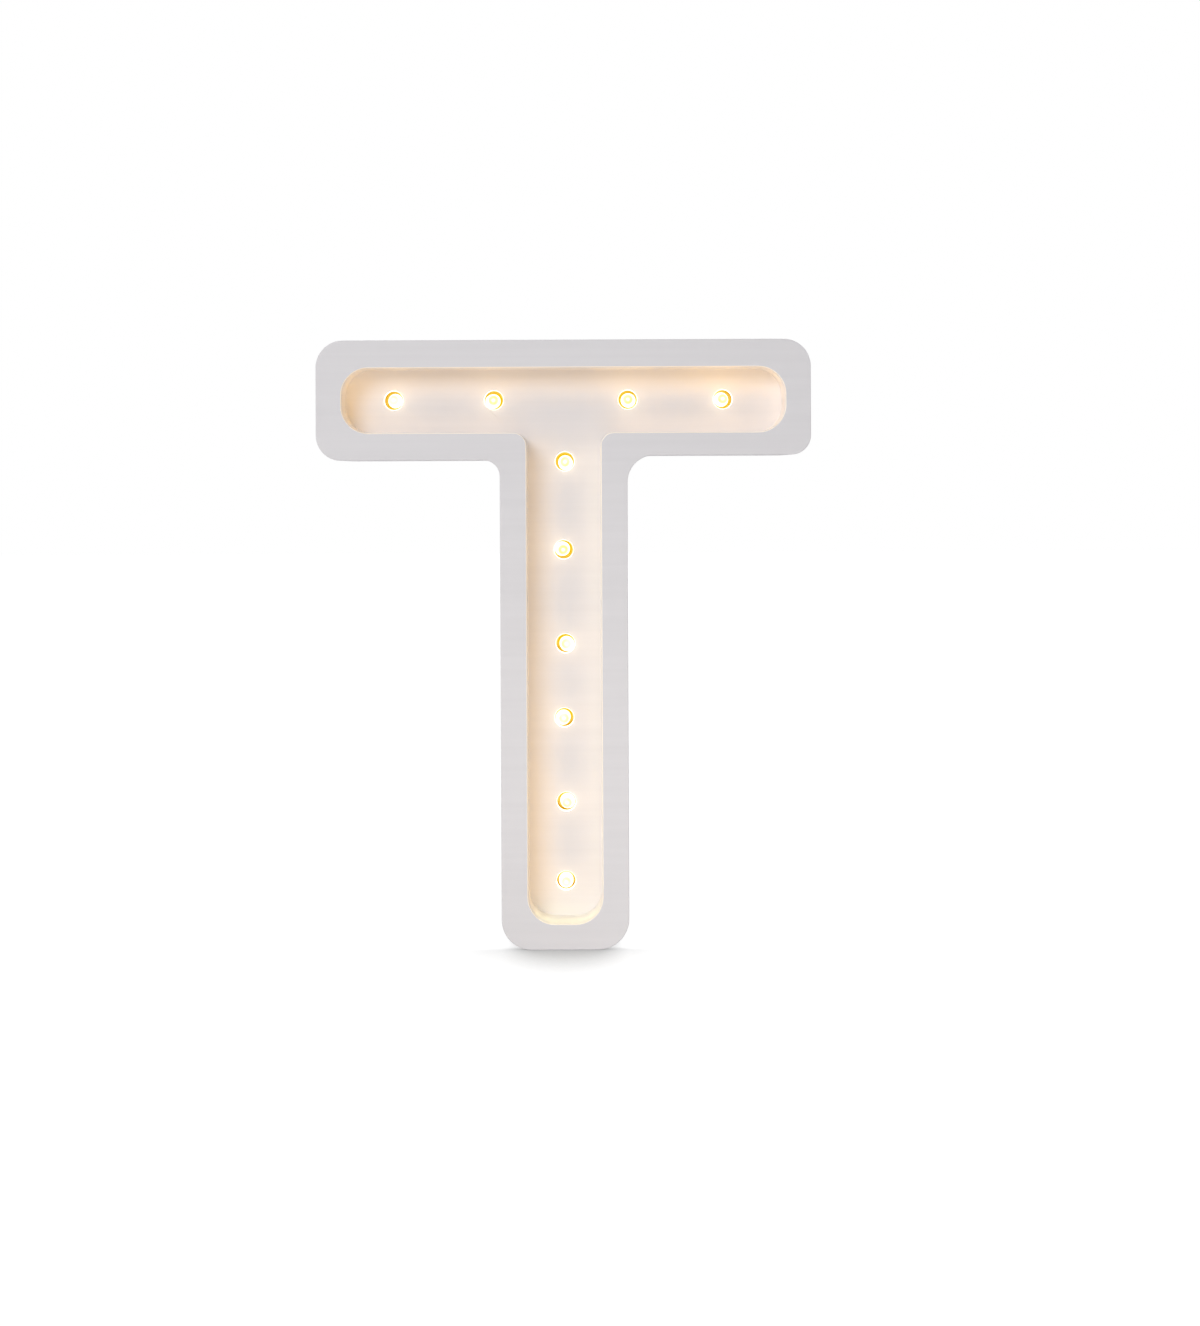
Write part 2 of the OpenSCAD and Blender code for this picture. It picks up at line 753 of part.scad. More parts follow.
// A rib across the tray, hollowed to the two cells
module cradle(z) {
    difference() {
        block(-bay_half - cut, bay_half + cut, tray_y - cut, tray_y + cradle_h,
            z - cradle_t / 2, z + cradle_t / 2);
        for (x = [-cell_x, cell_x]) translate([x, cell_y, z - cradle_t])
            cylinder(h = 2 * cradle_t, r = cell_d / 2 + cradle_gap - cradle_lift);
    }
}

module box_shell() {
    slab(box_y, flange_y) rounded_rect(-box_half, box_half, box_rise, box_top, box_r);
    slab(flange_y - flange_t, flange_y)
        rounded_rect(-flange_half, flange_half, box_rise - flange_end, box_top + flange_end, flange_r);
}

// The rooms for the cells and the door screw, the seat of the door and the windows for its tongues
module battery_room() {
    block(-bay_half, bay_half, tray_y, flange_y + cut, bay_z, bay_top);
    block(-bay_half, bay_half, tray_y, flange_y + cut, boss_z, boss_z + boss_room);
    slab(door_y - seat_gap, flange_y + cut)
        rounded_rect(-door_half - edge_gap, door_half + edge_gap,
            door_foot - edge_gap, door_top + edge_gap, door_r);
    for (side = [-1, 1])
        block(side * tongue_x - tongue_w / 2 - edge_gap, side * tongue_x + tongue_w / 2 + edge_gap,
            door_y - tongue_t - tongue_swing, flange_y - lip_t,
            bay_top - cut, door_top + tongue_l + 2 * edge_gap);
    for (side = [-1, 1])
        block(side * cell_x - tab_w / 2 - slit_gap, side * cell_x + tab_w / 2 + slit_gap,
            cell_y - contact_t / 2 - slit_gap, cell_y + contact_t / 2 + slit_gap,
            bay_top - cut, switch_z + cut);
}

// The slot that the knob slides in
module knob_slot(y0, y1) {
    block(-slot_w / 2, slot_w / 2, y0, y1, switch_mid - slot_h / 2, switch_mid + slot_h / 2);
}

// The room behind the switch, its dish and the holes for the knob and the two screws
module switch_hollow() {
    block(-bay_half, bay_half, box_y - cut, ceiling_y, switch_z, switch_z + switch_room);
    slab(dish_y, flange_y + cut)
        rounded_rect(-dish_w / 2, dish_w / 2, switch_mid - dish_h / 2, switch_mid + dish_h / 2, dish_r);
    knob_slot(ceiling_y - cut, dish_y + cut);
    for (x = [-ear_span / 2, ear_span / 2]) facing_back(x, ceiling_y - cut, switch_mid)
        cylinder(h = dish_t + 2 * cut, d = switch_screw_d + 2 * run_gap);
    for (way = [red_way, black_way])
        block(wall_x(way) - notch_w / 2, wall_x(way) + notch_w / 2, box_y - cut, box_y + notch_depth,
            switch_z + switch_room - cut, box_top + cut);
}

module battery_box() color("whitesmoke") difference() {
    union() {
        difference() {
            box_shell();
            battery_room();
            switch_hollow();
        }
        for (z = [bay_z + cradle_inset, bay_top - cradle_inset]) cradle(z);
        block(-bay_rib / 2, bay_rib / 2, tray_y - cut, tray_y + cradle_h,
            bay_z + rib_start, bay_top + cut);
        facing_back(0, tray_y - seat_gap, door_screw_z)
            cylinder(h = post_y - tray_y + seat_gap, r = post_r);
    }
    facing_back(0, post_y - post_bore, door_screw_z)
        cylinder(h = post_bore + cut, d = door_screw_d + 2 * post_gap);
    for (z = box_screws_at) facing_back(0, flange_y, z) countersunk_hole(box_screw_d, flange_t, seat_gap);
}

module box_screws() color("silver") {
    for (z = box_screws_at) facing_back(0, flange_y, z) countersunk_screw(box_screw_d, box_screw_l);
}

// A cell standing on z = 0, its terminal at the top
module cell() {
    r = cell_d / 2;
    top = cell_l - nub_h;
    nub_r = nub_d / 2;
    rotate_extrude() polygon([
        [0, 0], [r - cell_edge, 0], [r, cell_edge], [r, top - cell_edge], [r - cell_edge, top],
        [nub_r + ring_w, top], [nub_r + ring_w, top - ring_sink], [nub_r, top - ring_sink],
        [nub_r, cell_l - ring_sink], [nub_r - ring_sink, cell_l], [0, cell_l]
    ]);
}

module battery_1() color("goldenrod") {
    translate([cell_x, cell_y, bay_top - contact_t - dimple_h - seat_gap - cell_l]) cell();
}

module battery_2() color("goldenrod") {
    translate([-cell_x, cell_y, bay_z + contact_t + dimple_h + seat_gap + cell_l])
        mirror([0, 0, 1]) cell();
}

// A flat contact against the end of the bay, with its tab through the wall
module tabbed_contact(x) {
    block(x - contact_w / 2, x + contact_w / 2, cell_y - contact_w / 2, cell_y + contact_w / 2,
        bay_top - contact_t, bay_top);
    block(x - tab_w / 2, x + tab_w / 2, cell_y - contact_t / 2, cell_y + contact_t / 2,
        bay_top - contact_t, switch_z + tab_l);
}

module contact_plus() color("silver") {
    tabbed_contact(cell_x);
    translate([cell_x, cell_y, bay_top - contact_t - dimple_h])
        cylinder(h = dimple_h + contact_t / 2, r = dimple_r);
}

module contact_minus() color("silver") tabbed_contact(-cell_x);

module contact_bridge() color("silver") {
    block(-cell_x - contact_w / 2, cell_x + contact_w / 2, cell_y - contact_w / 2, cell_y + contact_w / 2,
        bay_z, bay_z + contact_t);
    translate([-cell_x, cell_y, bay_z + contact_t / 2])
        cylinder(h = dimple_h + contact_t / 2, r = dimple_r);
}

module spring_minus() color("silver") {
    translate([-cell_x, cell_y, bay_top - contact_t]) rotate([180, 0, 0]) contact_spring();
}

module spring_bridge() color("silver") {
    translate([cell_x, cell_y, bay_z + contact_t]) contact_spring();
}

// Switch

module switch_frame() color("silver") difference() {
    union() {
        slab(frame_y, ceiling_y)
            rounded_rect(-frame_w / 2, frame_w / 2,
                switch_mid - frame_h / 2, switch_mid + frame_h / 2, ear_r);
        for (side = [-1, 1])
            block(-base_w / 2, base_w / 2, frame_y - frame_lip, frame_y,
                switch_mid + side * (base_h + frame_t) / 2 - frame_t / 2,
                switch_mid + side * (base_h + frame_t) / 2 + frame_t / 2);
    }
    knob_slot(frame_y - cut, ceiling_y + cut);
    for (x = [-ear_span / 2, ear_span / 2]) facing_back(x, frame_y - cut, switch_mid)
        cylinder(h = frame_t + 2 * cut, d = switch_screw_d + 2 * run_gap);
}

module switch_base() color("saddlebrown") difference() {
    block(-base_w / 2, base_w / 2, base_y, frame_y, switch_mid - base_h / 2, switch_mid + base_h / 2);
    block(-(foot_w + switch_travel) / 2 - edge_gap, (foot_w + switch_travel) / 2 + edge_gap,
        frame_y - knob_foot - seat_gap, frame_y + cut, switch_mid - slot_h / 2, switch_mid + slot_h / 2);
}

module switch_terminals() color("silver") {
    for (x = [-terminal_pitch, 0, terminal_pitch])
        block(x - terminal_t / 2, x + terminal_t / 2, terminal_y, base_y,
            switch_mid - terminal_w / 2, switch_mid + terminal_w / 2);
}

// The knob at its on end, held by its wider foot, with three grip grooves
module switch_knob() color("dimgray") difference() {
    union() {
        block(knob_x - knob_w / 2, knob_x + knob_w / 2, frame_y - knob_foot, flange_y - knob_sink,
            switch_mid - knob_h / 2, switch_mid + knob_h / 2);
        block(knob_x - foot_w / 2, knob_x + foot_w / 2, frame_y - knob_foot, frame_y - seat_gap,
            switch_mid - knob_h / 2, switch_mid + knob_h / 2);
    }
    for (x = [knob_x - 2 * knob_groove, knob_x, knob_x + 2 * knob_groove])
        block(x - knob_groove / 2, x + knob_groove / 2,
            flange_y - knob_sink - knob_groove, flange_y, switch_mid - knob_h, switch_mid + knob_h);
}

module switch_screws() color("silver") {
    for (x = [-ear_span / 2, ear_span / 2]) facing_back(x, dish_y, switch_mid)
        pan_screw(switch_screw_d, switch_screw_l, switch_head_d, switch_head_h);
}

// The short wire from the plus contact to the middle terminal
module switch_jumper() color("firebrick") {
    p = [cell_x, cell_y, switch_z + tab_l + joint_gap];
    q = [0, terminal_y + wire_d, switch_mid - terminal_w / 2 - joint_gap];
    tube(curve(p, [0, 0, jumper_start], [0, 0, jumper_end], q), wire_d / 2, wire_sides, [0, 1, 0]);
}

module resistor_body() color("tan") {
    translate([resistor_x - resistor_l / 2, resistor_y, switch_mid]) rotate([0, 90, 0])
        cylinder(h = resistor_l, d = resistor_d);
}

module resistor_leads() color("silver") {
    r = resistor_lead_d / 2;
    left = terminal_pitch - r;
    translate([left, resistor_y, switch_mid]) rotate([0, 90, 0])
        cylinder(h = resistor_x - resistor_l / 2 - left, r = r);
    translate([resistor_x + resistor_l / 2, resistor_y, switch_mid]) rotate([0, 90, 0])
        cylinder(h = resistor_lead, r = r);
    translate([resistor_end, resistor_y, switch_mid]) sphere(r);
    translate([resistor_end, resistor_y, switch_mid]) cylinder(h = resistor_rise, r = r);
}

// Door

module battery_door() color("whitesmoke") difference() {
    union() {
        slab(door_y, flange_y) rounded_rect(-door_half, door_half, door_foot, door_top, door_r);
        for (side = [-1, 1])
            block(side * tongue_x - tongue_w / 2, side * tongue_x + tongue_w / 2,
                door_y - tongue_t, door_y, door_top - tongue_root, door_top + tongue_l);
        block(-door_rib_w / 2, door_rib_w / 2, door_y - door_rib_h, door_y,
            bay_z + door_rib_end, bay_top - door_rib_end);
        facing_back(0, door_y - door_boss_h, door_screw_z)
            cylinder(h = door_boss_h + seat_gap, r = door_boss_r);
    }
    facing_back(0, head_seat_y, door_screw_z)
        cylinder(h = flange_y - head_seat_y + cut, d = door_head_d + 4 * run_gap);
    facing_back(0, door_y - door_boss_h - cut, door_screw_z)
        cylinder(h = head_seat_y - door_y + door_boss_h + 2 * cut, d = door_screw_d + 2 * run_gap);
    for (k = [0 : grip_count - 1])
        block(-grip_w / 2, grip_w / 2, flange_y - grip_depth, flange_y + cut,
            door_foot + grip_rise + k * grip_pitch, door_foot + grip_rise + k * grip_pitch + grip_h);
}

module door_screw() color("silver") {
    facing_back(0, head_seat_y + seat_gap, door_screw_z)
        pan_screw(door_screw_d, head_seat_y - post_y + post_grip, door_head_d, door_head_h);
}

letter_body();
back_panel();
panel_screws();
for (i = [1 : led_count]) led_lens(i - 1);
for (i = [1 : led_count]) led_leads(i - 1);
led_glue();
solder_joints();
led_wires_red();
led_wires_black();
feed_wire_red();
feed_wire_black();
battery_box();
box_screws();
battery_1();
battery_2();
contact_plus();
contact_minus();
contact_bridge();
spring_minus();
spring_bridge();
switch_frame();
switch_base();
switch_terminals();
switch_knob();
switch_screws();
switch_jumper();
resistor_body();
resistor_leads();
battery_door();
door_screw();
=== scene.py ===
"""Looks of the letter night light: finishes, edges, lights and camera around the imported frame.

Units are metres in the part's own frame: the lit front faces -Y, and the foot stands on z = 0.
"""

import json
import math

import bpy
from mathutils import Matrix, Vector


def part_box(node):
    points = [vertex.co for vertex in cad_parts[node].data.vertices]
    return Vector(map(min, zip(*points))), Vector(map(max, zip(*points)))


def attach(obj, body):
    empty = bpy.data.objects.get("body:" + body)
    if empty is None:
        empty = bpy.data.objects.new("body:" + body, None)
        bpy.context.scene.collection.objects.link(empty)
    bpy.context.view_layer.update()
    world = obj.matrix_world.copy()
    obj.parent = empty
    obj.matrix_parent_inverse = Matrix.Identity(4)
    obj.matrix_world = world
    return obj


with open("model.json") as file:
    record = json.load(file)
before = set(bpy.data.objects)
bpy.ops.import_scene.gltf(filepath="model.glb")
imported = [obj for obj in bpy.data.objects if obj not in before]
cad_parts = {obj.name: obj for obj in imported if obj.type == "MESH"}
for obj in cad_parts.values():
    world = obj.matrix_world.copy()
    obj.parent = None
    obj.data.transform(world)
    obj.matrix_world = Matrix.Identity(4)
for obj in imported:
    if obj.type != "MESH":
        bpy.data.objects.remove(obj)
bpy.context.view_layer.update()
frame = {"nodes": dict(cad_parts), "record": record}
nodes = frame["nodes"]

# Places read from the frame
MM = 0.001
BODY_LOW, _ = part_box("letter_body")
_, PANEL_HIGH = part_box("back_panel")
_, BOX_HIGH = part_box("battery_box")
KNOB_LOW, KNOB_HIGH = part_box("switch_knob")
CELL_LOW, CELL_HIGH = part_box("battery_1")
LENSES = sorted(name for name in nodes if name.startswith("led_lens_"))
FRONT_Y = BODY_LOW.y
BACK_Y = PANEL_HIGH.y

# Depths of the letter: the floor of the recess, and the wood behind it that holds the lights
RECESS_DEPTH = 13 * MM
WEB = 6.5 * MM
FLOOR_Y = FRONT_Y + RECESS_DEPTH
WEB_Y = FLOOR_Y + WEB

# Outline of the recess
RECESS_HALF = 76.55 * MM
RECESS_TOP = 200.5 * MM
RECESS_ARM = 178 * MM
RECESS_STEM = 12.9 * MM
RECESS_FOOT = 8.8 * MM

# The photograph's frame, and where its camera stands
PHOTO_W = 1200
PHOTO_H = 1326
PRINCIPAL_X = 581
PRINCIPAL_Y = 470.3
CAMERA_AT = Vector((6 * MM, FRONT_Y - 633.6 * MM, 165 * MM))
CAMERA_LENS = 50
CAMERA_SENSOR = 36
CAMERA_ROLL = math.radians(0.25)
CAMERA_NEAR = 0.01

# Light levels: a colour renders about as it is written
WORLD_LEVEL = 0.37
KEY_AIM = Vector((0, FLOOR_Y, 120 * MM))
KEY_FROM = Vector((-0.45, -1, 0.42))
KEY_DISTANCE = 3.0
KEY_W = 1.3
KEY_H = 1.1
KEY_POWER = 34.6
BACK_FROM = Vector((0.4, 1, 0.5))
BACK_POWER = 22
SIDE_FROM = Vector((1, 0.3, 0.35))
SIDE_POWER = 14
FILL_AT = Vector((0, FRONT_Y - 220 * MM, 20 * MM))
FILL_AIM = Vector((0, FRONT_Y, 30 * MM))
FILL_W = 0.15
FILL_H = 0.06
FILL_COLOUR = (1, 0.91, 0.8)
FILL_POWER = 0.095
GLOW_COLOUR = (1, 0.54, 0.10)
GLOW_POWER = 0.0005
GLOW_AHEAD = 7.5 * MM
GLOW_RADIUS = 1.5 * MM
HALO_COLOUR = (1, 0.88, 0.62)
HALO_POWER = 0.00012
HALO_AHEAD = 1.5 * MM
HALO_RADIUS = 1 * MM

# Corners of the recess, and where two of its walls are split
TOP_LEFT = (-RECESS_HALF, RECESS_TOP)
TOP_RIGHT = (RECESS_HALF, RECESS_TOP)
TOP_SPLITS = ((14 * MM, RECESS_TOP), (40 * MM, RECESS_TOP))
ARM_LEFT = (-RECESS_HALF, RECESS_ARM)
ARM_RIGHT = (RECESS_HALF, RECESS_ARM)
CROTCH_LEFT = (-RECESS_STEM, RECESS_ARM)
CROTCH_RIGHT = (RECESS_STEM, RECESS_ARM)
STEM_SPLITS = ((-RECESS_STEM, 65 * MM), (-RECESS_STEM, 105 * MM))
FOOT_LEFT = (-RECESS_STEM, RECESS_FOOT)
FOOT_RIGHT = (RECESS_STEM, RECESS_FOOT)
SPLITS = TOP_SPLITS + STEM_SPLITS

# Strips of light along the walls of the recess, which carry the glow of the lights to them. Each has the
# ends of its wall, the way out of the recess, the level and the colour.
STRIP_WIDE = 2 * MM
STRIP_SHORT = 4 * MM
AMBER = (1, 0.53, 0.02)
PALE = (1, 0.72, 0.40)
LEMON = (0.96, 1, 0.46)
SHADES = {
    "top_left": (TOP_LEFT, TOP_SPLITS[0], (0, 1), 2.2, AMBER),
    "top_mid": (TOP_SPLITS[0], TOP_SPLITS[1], (0, 1), 2.75, AMBER),
    "top_right": (TOP_SPLITS[1], TOP_RIGHT, (0, 1), 3.6, AMBER),
    "left_end": (ARM_LEFT, TOP_LEFT, (-1, 0), 3.1, AMBER),
    "stem_left": (STEM_SPLITS[1], CROTCH_LEFT, (-1, 0), 1.75, AMBER),
    "stem_left_mid": (STEM_SPLITS[0], STEM_SPLITS[1], (-1, 0), 1.95, AMBER),
    "stem_left_low": (FOOT_LEFT, STEM_SPLITS[0], (-1, 0), 2.4, AMBER),
}
WASHES = {
    "right_end": (ARM_RIGHT, TOP_RIGHT, (1, 0), 1.4, PALE),
    "under_left": (ARM_LEFT, CROTCH_LEFT, (0, -1), 1.3, PALE),
    "under_right": (CROTCH_RIGHT, ARM_RIGHT, (0, -1), 1.9, PALE),
    "stem_right": (FOOT_RIGHT, CROTCH_RIGHT, (1, 0), 0.85, PALE),
    "foot": (FOOT_LEFT, FOOT_RIGHT, (0, -1), 0.25, LEMON),
}
WALLS = {
    "right_end": (ARM_RIGHT, TOP_RIGHT, (1, 0), 0.9, PALE),
    "stem_right": (FOOT_RIGHT, CROTCH_RIGHT, (1, 0), 1.0, LEMON),
    "foot": (FOOT_LEFT, FOOT_RIGHT, (0, -1), 2.8, LEMON),
}
CORNERS = {
    "left_end": (ARM_LEFT, TOP_LEFT, (-1, 0), 0.35, AMBER),
    "right_end": (ARM_RIGHT, TOP_RIGHT, (1, 0), 0.25, PALE),
    "stem_left": (FOOT_LEFT, CROTCH_LEFT, (-1, 0), 0.2, AMBER),
}

# The sets of strips: distance from the wall, depth behind the front face, and dip to the recess floor
STRIPS = {
    "shade": (6 * MM, 4.5 * MM, 1.0, SHADES),
    "wash": (5.5 * MM, 5 * MM, 0.8, WASHES),
    "wall": (5.5 * MM, 5 * MM, 0, WALLS),
    "corner": (2.5 * MM, 10.5 * MM, 1.0, CORNERS),
}

# Painted highlight on the recess edge, emission in the paint for the lights' glow: its reach outside the
# recess, its depth and its colour
RIM_SPARE = 3 * MM
RIM_DEPTH = 1.2 * MM
PAINTED_RIM_HIGHLIGHT = (0.30, 0.24, 0.14, 1)


def srgb(red, green, blue):
    """A colour written as 0 to 255 on a screen, as the linear colour that a shader takes."""
    def linear(value):
        share = value / 255
        return share / 12.92 if share <= 0.04045 else ((share + 0.055) / 1.055) ** 2.4
    return (linear(red), linear(green), linear(blue), 1)


NOISE_LOW = 0.3
NOISE_HIGH = 0.7


class Nodes:
    """A material's node tree, with short calls for the nodes that the finishes share."""

    def __init__(self, name):
        self.material = bpy.data.materials.new(name)
        self.material.use_nodes = True
        self.tree = self.material.node_tree
        self.shader = self.tree.nodes["Principled BSDF"]

    def add(self, kind, **settings):
        node = self.tree.nodes.new(kind)
        for key, value in settings.items():
            setattr(node, key, value)
        return node

    def link(self, source, target):
        self.tree.links.new(source, target)

    def put(self, node, **values):
        """Sets a node's sockets: a spaced name is written with underscores."""
        for key, value in values.items():
            node.inputs[key.replace("_", " ")].default_value = value
        return node

    def place(self, scale=(1, 1, 1)):
        """Coordinates in the part's frame, in metres, times a scale."""
        where = self.add("ShaderNodeTexCoord")
        mapping = self.add("ShaderNodeMapping")
        mapping.inputs["Scale"].default_value = scale
        self.link(where.outputs["Object"], mapping.inputs["Vector"])
        return mapping.outputs["Vector"]

    def noise(self, scale, detail=3.0, roughness=0.5):
        """Noise whose features are one over the scale apart, along each axis of the part."""
        node = self.add("ShaderNodeTexNoise")
        self.put(node, Scale=1.0, Detail=detail, Roughness=roughness)
        self.link(self.place(scale), node.inputs["Vector"])
        return node.outputs["Fac"]

    def math(self, kind, first, second=None):
        node = self.add("ShaderNodeMath", operation=kind)
        for socket, value in zip(node.inputs, (first, second)):
            if hasattr(value, "links"):
                self.link(value, socket)
            elif value is not None:
                socket.default_value = value
        return node.outputs[0]

    def span(self, value, low, high, to_low=0.0, to_high=1.0):
        """A value's stretch from low to high, as a stretch from to_low to to_high."""
        node = self.add("ShaderNodeMapRange")
        self.put(node, From_Min=low, From_Max=high, To_Min=to_low, To_Max=to_high)
        self.link(value, node.inputs["Value"])
        return node.outputs["Result"]

    def spread(self, noise, to_low=0.0, to_high=1.0):
        """The usual reach of a noise, as a stretch from to_low to to_high."""
        return self.span(noise, NOISE_LOW, NOISE_HIGH, to_low, to_high)

    def mix(self, share, first, second):
        """A colour from first to second, each a colour or another node's output."""
        node = self.add("ShaderNodeMix", data_type="RGBA")
        self.link(share, node.inputs[0])
        for socket, value in ((node.inputs[6], first), (node.inputs[7], second)):
            if hasattr(value, "links"):
                self.link(value, socket)
            else:
                socket.default_value = value
        return node.outputs[2]

    def bump(self, height, distance, strength=1.0, under=None):
        node = self.add("ShaderNodeBump")
        self.put(node, Distance=distance, Strength=strength)
        self.link(height, node.inputs["Height"])
        if under is not None:
            self.link(under, node.inputs["Normal"])
        return node.outputs["Normal"]


def in_recess(n, where, spare):
    """1 within the outline of the recess, widened by a spare, and 0 outside it."""
    across = n.math("ABSOLUTE", where.outputs["X"])
    z = where.outputs["Z"]
    in_bar = n.math("MULTIPLY", n.math("LESS_THAN", across, RECESS_HALF + spare),
                    n.math("GREATER_THAN", z, RECESS_ARM - spare))
    in_stem = n.math("MULTIPLY", n.math("LESS_THAN", across, RECESS_STEM + spare),
                     n.math("GREATER_THAN", z, RECESS_FOOT - spare))
    return n.math("MULTIPLY", n.math("MAXIMUM", in_bar, in_stem), n.math("LESS_THAN", z, RECESS_TOP + spare))


# Paint and raw wood, each between two tones, and the painted glow on the walls of the holes, emission for
# the lights' light on them
GRAIN = (8, 80, 420)
PAINT = (srgb(221, 219, 222), srgb(225, 223, 226))
RAW_WOOD = (srgb(180, 136, 0), srgb(206, 166, 0))
PAINTED_GOLD_GLOW = ((0.11, 0.07, 0, 1), (0.25, 0.175, 0, 1))
PAINTED_HOLE_MOUTH_GLOW = (1.2, 1.12, 0.95, 1)

# Depths at which these start and end: behind the front face, behind the recess floor and before
# the back of the wood there
RIM_SKIN = 0.02 * MM
HOLE_SKIN = 0.04 * MM
WEB_SKIN = 0.2 * MM
RAW_FROM = FLOOR_Y + 1.6 * MM
RAW_TO = FLOOR_Y + 2.4 * MM


def painted_wood():
    """White satin paint over wood whose grain runs across the letter, raw inside the holes of the lights,
    with painted glow on the hole walls and a painted highlight on the recess edge.
    """
    n = Nodes("painted_wood")
    grain = n.noise(GRAIN, detail=4, roughness=0.55)
    broad = n.noise((6, 12, 60), detail=2)
    peel = n.noise((900, 900, 900), detail=2)
    tone = n.math("ADD", n.math("MULTIPLY", grain, 0.6), n.math("MULTIPLY", broad, 0.4))
    paint = n.mix(n.span(tone, 0.35, 0.65), *PAINT)

    where = n.add("ShaderNodeSeparateXYZ")
    n.link(n.place(), where.inputs[0])
    inside = in_recess(n, where, RIM_SPARE)
    y = where.outputs["Y"]
    behind = n.math("GREATER_THAN", y, FRONT_Y + RIM_SKIN)
    # Painted highlight: paint just behind the front face, round the recess, glows as if the lights lit the
    # edge
    painted_rim_highlight = n.math("MULTIPLY", behind, n.span(y, FRONT_Y, FRONT_Y + RIM_DEPTH, 1, 0))
    in_hole = n.math("GREATER_THAN", y, FLOOR_Y + HOLE_SKIN)
    shallow = n.math("LESS_THAN", y, WEB_Y - WEB_SKIN)
    hole = n.math("MULTIPLY", in_hole, shallow)
    deep = n.span(y, RAW_FROM, RAW_TO)
    raw = n.math("MULTIPLY", n.math("MULTIPLY", hole, deep), inside)
    rings = n.noise((400, 90, 1400), detail=3)
    wood = n.mix(rings, *RAW_WOOD)
    n.link(n.mix(raw, paint, wood), n.shader.inputs["Base Color"])
    # Painted glow on the hole walls: bright at the mouth, gold deeper in, emission for the lights' light
    # there
    deep_painted_glow = n.mix(rings, *PAINTED_GOLD_GLOW)
    lit = n.mix(deep, PAINTED_HOLE_MOUTH_GLOW, deep_painted_glow)
    # Emission of the paint: painted highlight on the recess edge, painted glow in the holes
    n.link(n.mix(in_hole, PAINTED_RIM_HIGHLIGHT, lit), n.shader.inputs["Emission Color"])
    n.link(n.math("MULTIPLY", inside, n.math("ADD", painted_rim_highlight, hole)), n.shader.inputs["Emission Strength"])

    satin = n.spread(broad, 0.42, 0.52)
    n.link(n.math("MAXIMUM", satin, raw), n.shader.inputs["Roughness"])
    fine = n.bump(peel, 0.02 * MM, 0.4)
    n.link(n.bump(grain, 0.04 * MM, 0.25, under=fine), n.shader.inputs["Normal"])
    return n.material


# Light of a lens: its middle, its edge, the ring of the cup and the part down in the hole.
# Radii are shares of its width.
LENS_MIDDLE = (1.25, 1.2, 1.05, 1)
LENS_EDGE = (2.4, 2.1, 1.4, 1)
LENS_RING = (0.97, 0.95, 0.30, 1)
LENS_DEEP = (0.70, 0.45, 0.0, 1)
LENS_DARK = (0.04, 0.035, 0.02, 1)
RING_AT = 0.20
RING_CLEAR = 0.04
RING_FADE = 0.12
EDGE_FROM = 0.30
EDGE_TO = 0.36
LENS_DEEP_FROM = FLOOR_Y + 1.8 * MM
LENS_DEEP_TO = FLOOR_Y + 2.8 * MM


def lit_lens():
    """Clear epoxy lit from inside, with a yellower ring where the cup shows, and amber down in the hole."""
    n = Nodes("lit_lens")
    where = n.add("ShaderNodeTexCoord")
    spread = n.add("ShaderNodeSeparateXYZ")
    n.link(where.outputs["Generated"], spread.inputs[0])
    x = n.math("SUBTRACT", spread.outputs["X"], 0.5)
    z = n.math("SUBTRACT", spread.outputs["Z"], 0.5)
    out = n.math("SQRT", n.math("ADD", n.math("MULTIPLY", x, x), n.math("MULTIPLY", z, z)))
    ring = n.math("ABSOLUTE", n.math("SUBTRACT", out, RING_AT))
    patch = n.span(n.noise((260, 260, 260), detail=1), 0.35, 0.65, 0.3, 1)
    pale = n.math("MULTIPLY", n.span(ring, RING_CLEAR, RING_FADE, 1, 0), patch)
    edge = n.mix(n.span(out, EDGE_FROM, EDGE_TO), LENS_MIDDLE, LENS_EDGE)
    front = n.mix(pale, edge, LENS_RING)
    place = n.add("ShaderNodeSeparateXYZ")
    n.link(n.place(), place.inputs[0])
    deep = n.span(place.outputs["Y"], LENS_DEEP_FROM, LENS_DEEP_TO)
    n.link(n.mix(deep, front, LENS_DEEP), n.shader.inputs["Emission Color"])
    n.put(n.shader, Base_Color=LENS_DARK, Roughness=0.12, Specular_IOR_Level=0.3, Emission_Strength=1.0)
    return n.material


def brushed_metal(name, colour, roughness, scratch=(300, 300, 2600)):
    """Plated metal with fine scratches and an uneven shine."""
    n = Nodes(name)
    lines = n.noise(scratch, detail=3)
    cloud = n.noise((160, 160, 160), detail=3)
    dark = tuple(part * 0.8 for part in colour[:3]) + (1,)
    n.link(n.mix(n.spread(cloud), dark, colour), n.shader.inputs["Base Color"])
    n.link(n.spread(lines, roughness - 0.08, roughness + 0.1), n.shader.inputs["Roughness"])
    n.link(n.bump(lines, 0.02 * MM, 0.3), n.shader.inputs["Normal"])
    n.put(n.shader, Metallic=1.0)
    return n.material


def moulded(name, colour, roughness, grain=2200, depth=0.03 * MM):
    """Moulded plastic with the fine grain of its tool."""
    n = Nodes(name)
    fine = n.noise((grain, grain, grain), detail=2)
    cloud = n.noise((45, 45, 45), detail=3)
    dark = tuple(part * 0.93 for part in colour[:3]) + (1,)
    n.link(n.mix(n.spread(cloud), dark, colour), n.shader.inputs["Base Color"])
    n.link(n.spread(fine, roughness - 0.06, roughness + 0.06), n.shader.inputs["Roughness"])
    n.link(n.bump(fine, depth, 0.6), n.shader.inputs["Normal"])
    return n.material


